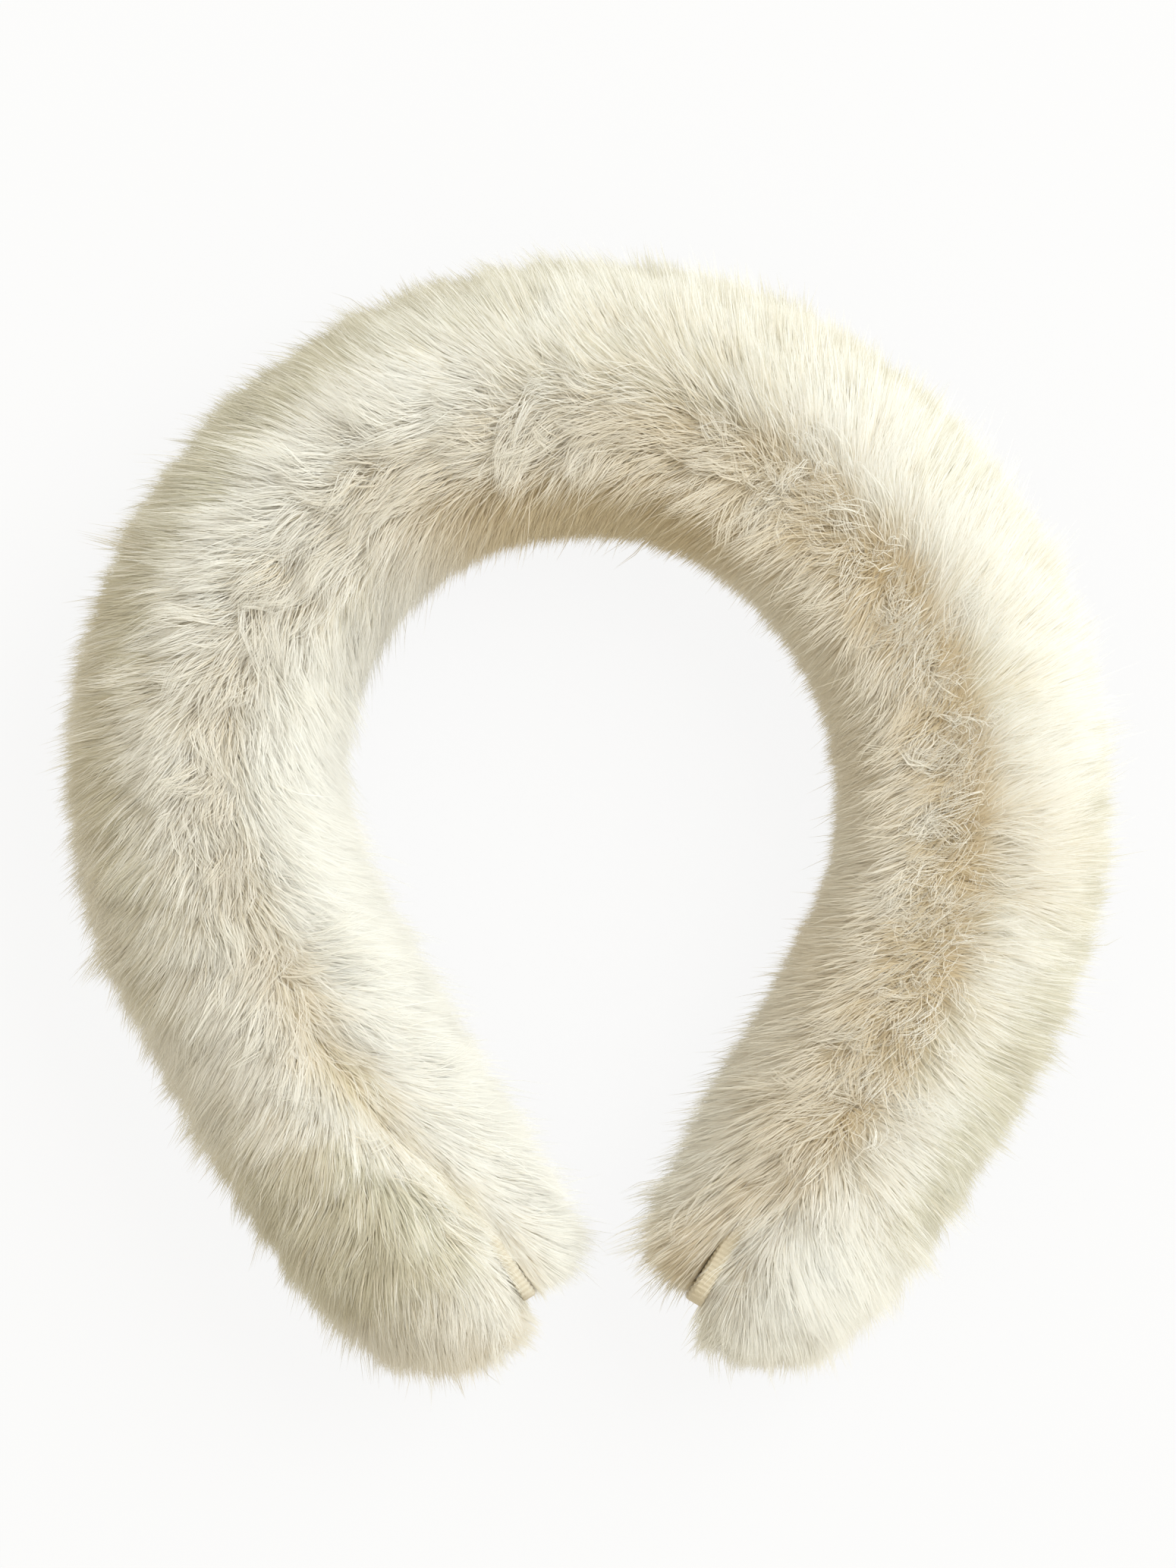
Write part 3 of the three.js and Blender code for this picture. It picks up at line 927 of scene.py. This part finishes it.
class HEADBAND_OT_backing(bpy.types.Operator):
    """Make the stuffed backing under the fur"""

    bl_idname = "headband.backing"
    bl_label = "Stuffed Backing"

    def execute(self, context):
        settings = context.scene.headband
        outer = tube("plush_body", OUTER_LOBE_LEFT, OUTER_LOBE_RIGHT, OUTER_TALL)
        inner = tube("inner_lobe", INNER_LOBE_LEFT, INNER_LOBE_RIGHT, INNER_TALL)
        select(outer)
        inner.select_set(True)
        bpy.ops.object.join()
        bpy.ops.object.modifier_add(type="REMESH")
        remesh = outer.modifiers[-1]
        remesh.mode = "VOXEL"
        remesh.voxel_size = settings.voxel
        bpy.ops.object.modifier_apply(modifier=remesh.name)
        bpy.ops.object.mode_set(mode="EDIT")
        bpy.ops.mesh.select_all(action="SELECT")
        bpy.ops.mesh.vertices_smooth(factor=0.5, repeat=2)
        bpy.ops.object.mode_set(mode="OBJECT")
        swell(outer, settings.pressure, settings.swell_cap)
        draw_seam_in(outer)
        select(outer)
        bpy.ops.object.modifier_add(type="SUBSURF")
        outer.modifiers[-1].levels = 1
        outer.modifiers[-1].render_levels = 1
        bpy.ops.object.modifier_apply(modifier=outer.modifiers[-1].name)
        bpy.ops.object.shade_smooth()
        outer.data.materials.clear()
        outer.data.materials.append(backing_paint(settings))
        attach(outer, "root")
        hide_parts("plush_cover")
        return {"FINISHED"}


class HEADBAND_OT_fur(bpy.types.Operator):
    """Grow the fur from the backing"""

    bl_idname = "headband.fur"
    bl_label = "Fur"

    def execute(self, context):
        settings = context.scene.headband
        body = bpy.data.objects["plush_body"]
        paint = fibre_paint(settings)
        share = 1.0
        # The short dense hairs; only the first piece of them casts shadows.
        for k in range(BASE_PIECES):
            coat = Coat(body, int(settings.under_count / BASE_PIECES * share), seed=200 + k)
            beside = (1.0 - smooth(np.abs(coat.aside - 2.0), 5.0, 12.0)) * smooth(coat.s, 100.0, 180.0)
            length = settings.undercoat / MM * (1.0 - 0.22 * beside)
            path = strands(coat, length, lean=(46, 50, 8), segments=1, clumps=((1.5, 0.12),))
            tone = light_and_tone_of(coat, spread=0.12) - 0.15 + 0.06 * coat.calm
            # Beside the seam, under the tufts, the base coat is painted more tan as painted shade.
            tan = tan_and_shade_of(coat) + 0.04 + 0.12 * beside
            ribbons(
                f"fur_base_{k + 1}", coat, path, width=0.34, twist=50.0, soft=0.9, tone=tone, tan=tan,
                paint=paint, shadow=k == 0,
            )
        # The long sleek guard hairs.
        coat = Coat(body, int(settings.guard_count * share), seed=100, share_at=guard_share)
        path = strands(
            coat, settings.pile / MM, lean=(36, 60, 9), segments=3, clumps=((4.5, 0.45), (2.2, 0.45)),
            curl=5.0, frizz=0.03, stray=0.1,
        )
        tone = light_and_tone_of(coat, spread=0.15) + 0.3 * (1.0 - coat.rim)
        ribbons(
            "fur_guard", coat, path, width=0.21, twist=60.0, soft=0.88, tone=tone, tan=tan_and_shade_of(coat) * 0.7,
            paint=paint, shadow=False,
        )
        # The curled tufts beside the seam, wilder where the fur is matted.
        coat = Coat(body, int(settings.tuft_count * share), seed=300, share_at=tuft_share)
        wild = matted(coat.s, coat.aside)
        path = strands(
            coat, settings.pile / MM * (1.05 - 0.3 * wild), lean=(22, 76, 8), segments=4,
            clumps=((4.5, 0.4), (2.3, 0.8)), wander=14.0, curl=40.0 + 40.0 * wild, frizz=0.05 + 0.26 * wild,
        )
        # Over the hollow the tufts are kept out of its painted shade.
        tone = light_and_tone_of(coat, spread=0.18) + 0.25 + 0.2 * coat.hollow + 0.35 * wild
        tan = tan_and_shade_of(coat) * (0.85 - 0.3 * coat.hollow - 0.5 * wild)
        ribbons(
            "fur_tufts", coat, path, width=0.23, twist=60.0, soft=0.6, tone=tone, tan=tan, paint=paint,
        )
        return {"FINISHED"}


class HEADBAND_OT_ribbon(bpy.types.Operator):
    """Finish the ribbon-covered band"""

    bl_idname = "headband.ribbon"
    bl_label = "Ribbon Band"

    def execute(self, context):
        band = band_mesh("grosgrain_band")
        select(band)
        bpy.ops.object.mode_set(mode="EDIT")
        bpy.ops.mesh.select_all(action="SELECT")
        bpy.ops.mesh.normals_make_consistent(inside=False)
        bpy.ops.object.mode_set(mode="OBJECT")
        bpy.ops.object.shade_smooth_by_angle(angle=math.radians(50))
        band.data.materials.append(ribbon_paint(context.scene.headband))
        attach(band, "root")
        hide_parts("ribbon_band")
        return {"FINISHED"}


# The camera, in metres: the point that it looks straight down on, how far above it it stands, and how tall
# the view is there; its sensor in mm.
AIM = (0.0, 0.0067, 0.025)
CAMERA_AWAY = 2.0
FRAME_TALL = 0.2985
SENSOR = 36.0

# The floor and the round backdrop, in metres: they glow evenly, and no diffuse light comes from them.
STUDIO_RADIUS = 10.0
BACKDROP_SINK = 0.01
FLOOR_GLOW = 0.895

# The soft light from all round, and the key light: its direction in degrees, its distance and size in
# metres, its power in watts and its colour.
AMBIENT_COLOUR = (0.985, 0.91, 0.725, 1.0)
AMBIENT_STRENGTH = 0.72
KEY_AZIMUTH, KEY_HEIGHT = 33.0, 46.0
KEY_AWAY = 1.6
KEY_SIZE = 1.1
KEY_POWER = 17.0
KEY_COLOUR = (0.965, 1.01, 1.02)


class HEADBAND_OT_stage(bpy.types.Operator):
    """Set the floor, the lights and the camera"""

    bl_idname = "headband.stage"
    bl_label = "Studio Stage"

    def execute(self, context):
        settings = context.scene.headband
        deselect()
        paint = Paint("studio_floor").surface(
            {
                "Base Color": (*settings.floor_colour, 1.0),
                "Roughness": 0.9,
                "Emission Color": (1.0, 1.0, 1.0, 1.0),
                "Emission Strength": FLOOR_GLOW,
            }
        )
        bpy.ops.mesh.primitive_plane_add(size=2.2 * STUDIO_RADIUS, location=(0.0, 0.0, 0.0))
        floor = context.object
        floor.name = "studio_floor"
        bpy.ops.mesh.primitive_cylinder_add(
            vertices=96, radius=STUDIO_RADIUS, depth=2.0 * STUDIO_RADIUS, end_fill_type="NOTHING",
            location=(0.0, 0.0, STUDIO_RADIUS - BACKDROP_SINK),
        )
        backdrop = context.object
        backdrop.name = "studio_backdrop"
        backdrop.visible_glossy = False
        backdrop.visible_shadow = False
        for piece in (floor, backdrop):
            piece.data.materials.append(paint)
            piece.visible_diffuse = False
        world = bpy.data.worlds.new("studio_light")
        world.use_nodes = True
        ambient = world.node_tree.nodes["Background"].inputs
        ambient["Color"].default_value = AMBIENT_COLOUR
        ambient["Strength"].default_value = AMBIENT_STRENGTH
        context.scene.world = world
        azimuth, height = math.radians(KEY_AZIMUTH), math.radians(KEY_HEIGHT)
        level = KEY_AWAY * math.cos(height)
        bpy.ops.object.light_add(
            type="AREA",
            location=(level * math.cos(azimuth), level * math.sin(azimuth), KEY_AWAY * math.sin(height)),
            rotation=(math.pi / 2 - height, 0.0, azimuth + math.pi / 2),
        )
        key = context.object
        key.name = "key_light"
        key.data.size = KEY_SIZE
        key.data.energy = KEY_POWER
        key.data.color = KEY_COLOUR
        data = bpy.data.cameras.new("camera")
        data.sensor_width = SENSOR
        data.lens = SENSOR * CAMERA_AWAY / FRAME_TALL
        data.clip_end = 20.0
        camera = bpy.data.objects.new("camera", data)
        camera.location = (AIM[0], AIM[1], AIM[2] + CAMERA_AWAY)
        context.collection.objects.link(camera)
        context.scene.camera = camera
        context.scene.view_settings.view_transform = "Standard"
        return {"FINISHED"}


class HEADBAND_PT_panel(bpy.types.Panel):
    """The headband's pieces and their settings"""

    bl_label = "Headband"
    bl_idname = "HEADBAND_PT_panel"
    bl_space_type = "VIEW_3D"
    bl_region_type = "UI"
    bl_category = "Headband"

    def draw(self, context):
        for name in HeadbandSettings.__annotations__:
            self.layout.prop(context.scene.headband, name)
        for operator in OPERATORS:
            self.layout.operator(operator.bl_idname)


OPERATORS = (HEADBAND_OT_stage, HEADBAND_OT_backing, HEADBAND_OT_fur, HEADBAND_OT_ribbon)
CLASSES = (HeadbandSettings, *OPERATORS, HEADBAND_PT_panel)


def register():
    for cls in CLASSES:
        bpy.utils.register_class(cls)
    bpy.types.Scene.headband = PointerProperty(type=HeadbandSettings)


def unregister():
    del bpy.types.Scene.headband
    for cls in reversed(CLASSES):
        bpy.utils.unregister_class(cls)


def main():
    """Build everything in order."""
    register()
    bpy.ops.headband.stage()
    bpy.ops.headband.backing()
    bpy.ops.headband.fur()
    bpy.ops.headband.ribbon()


if __name__ == "__main__":
    main()
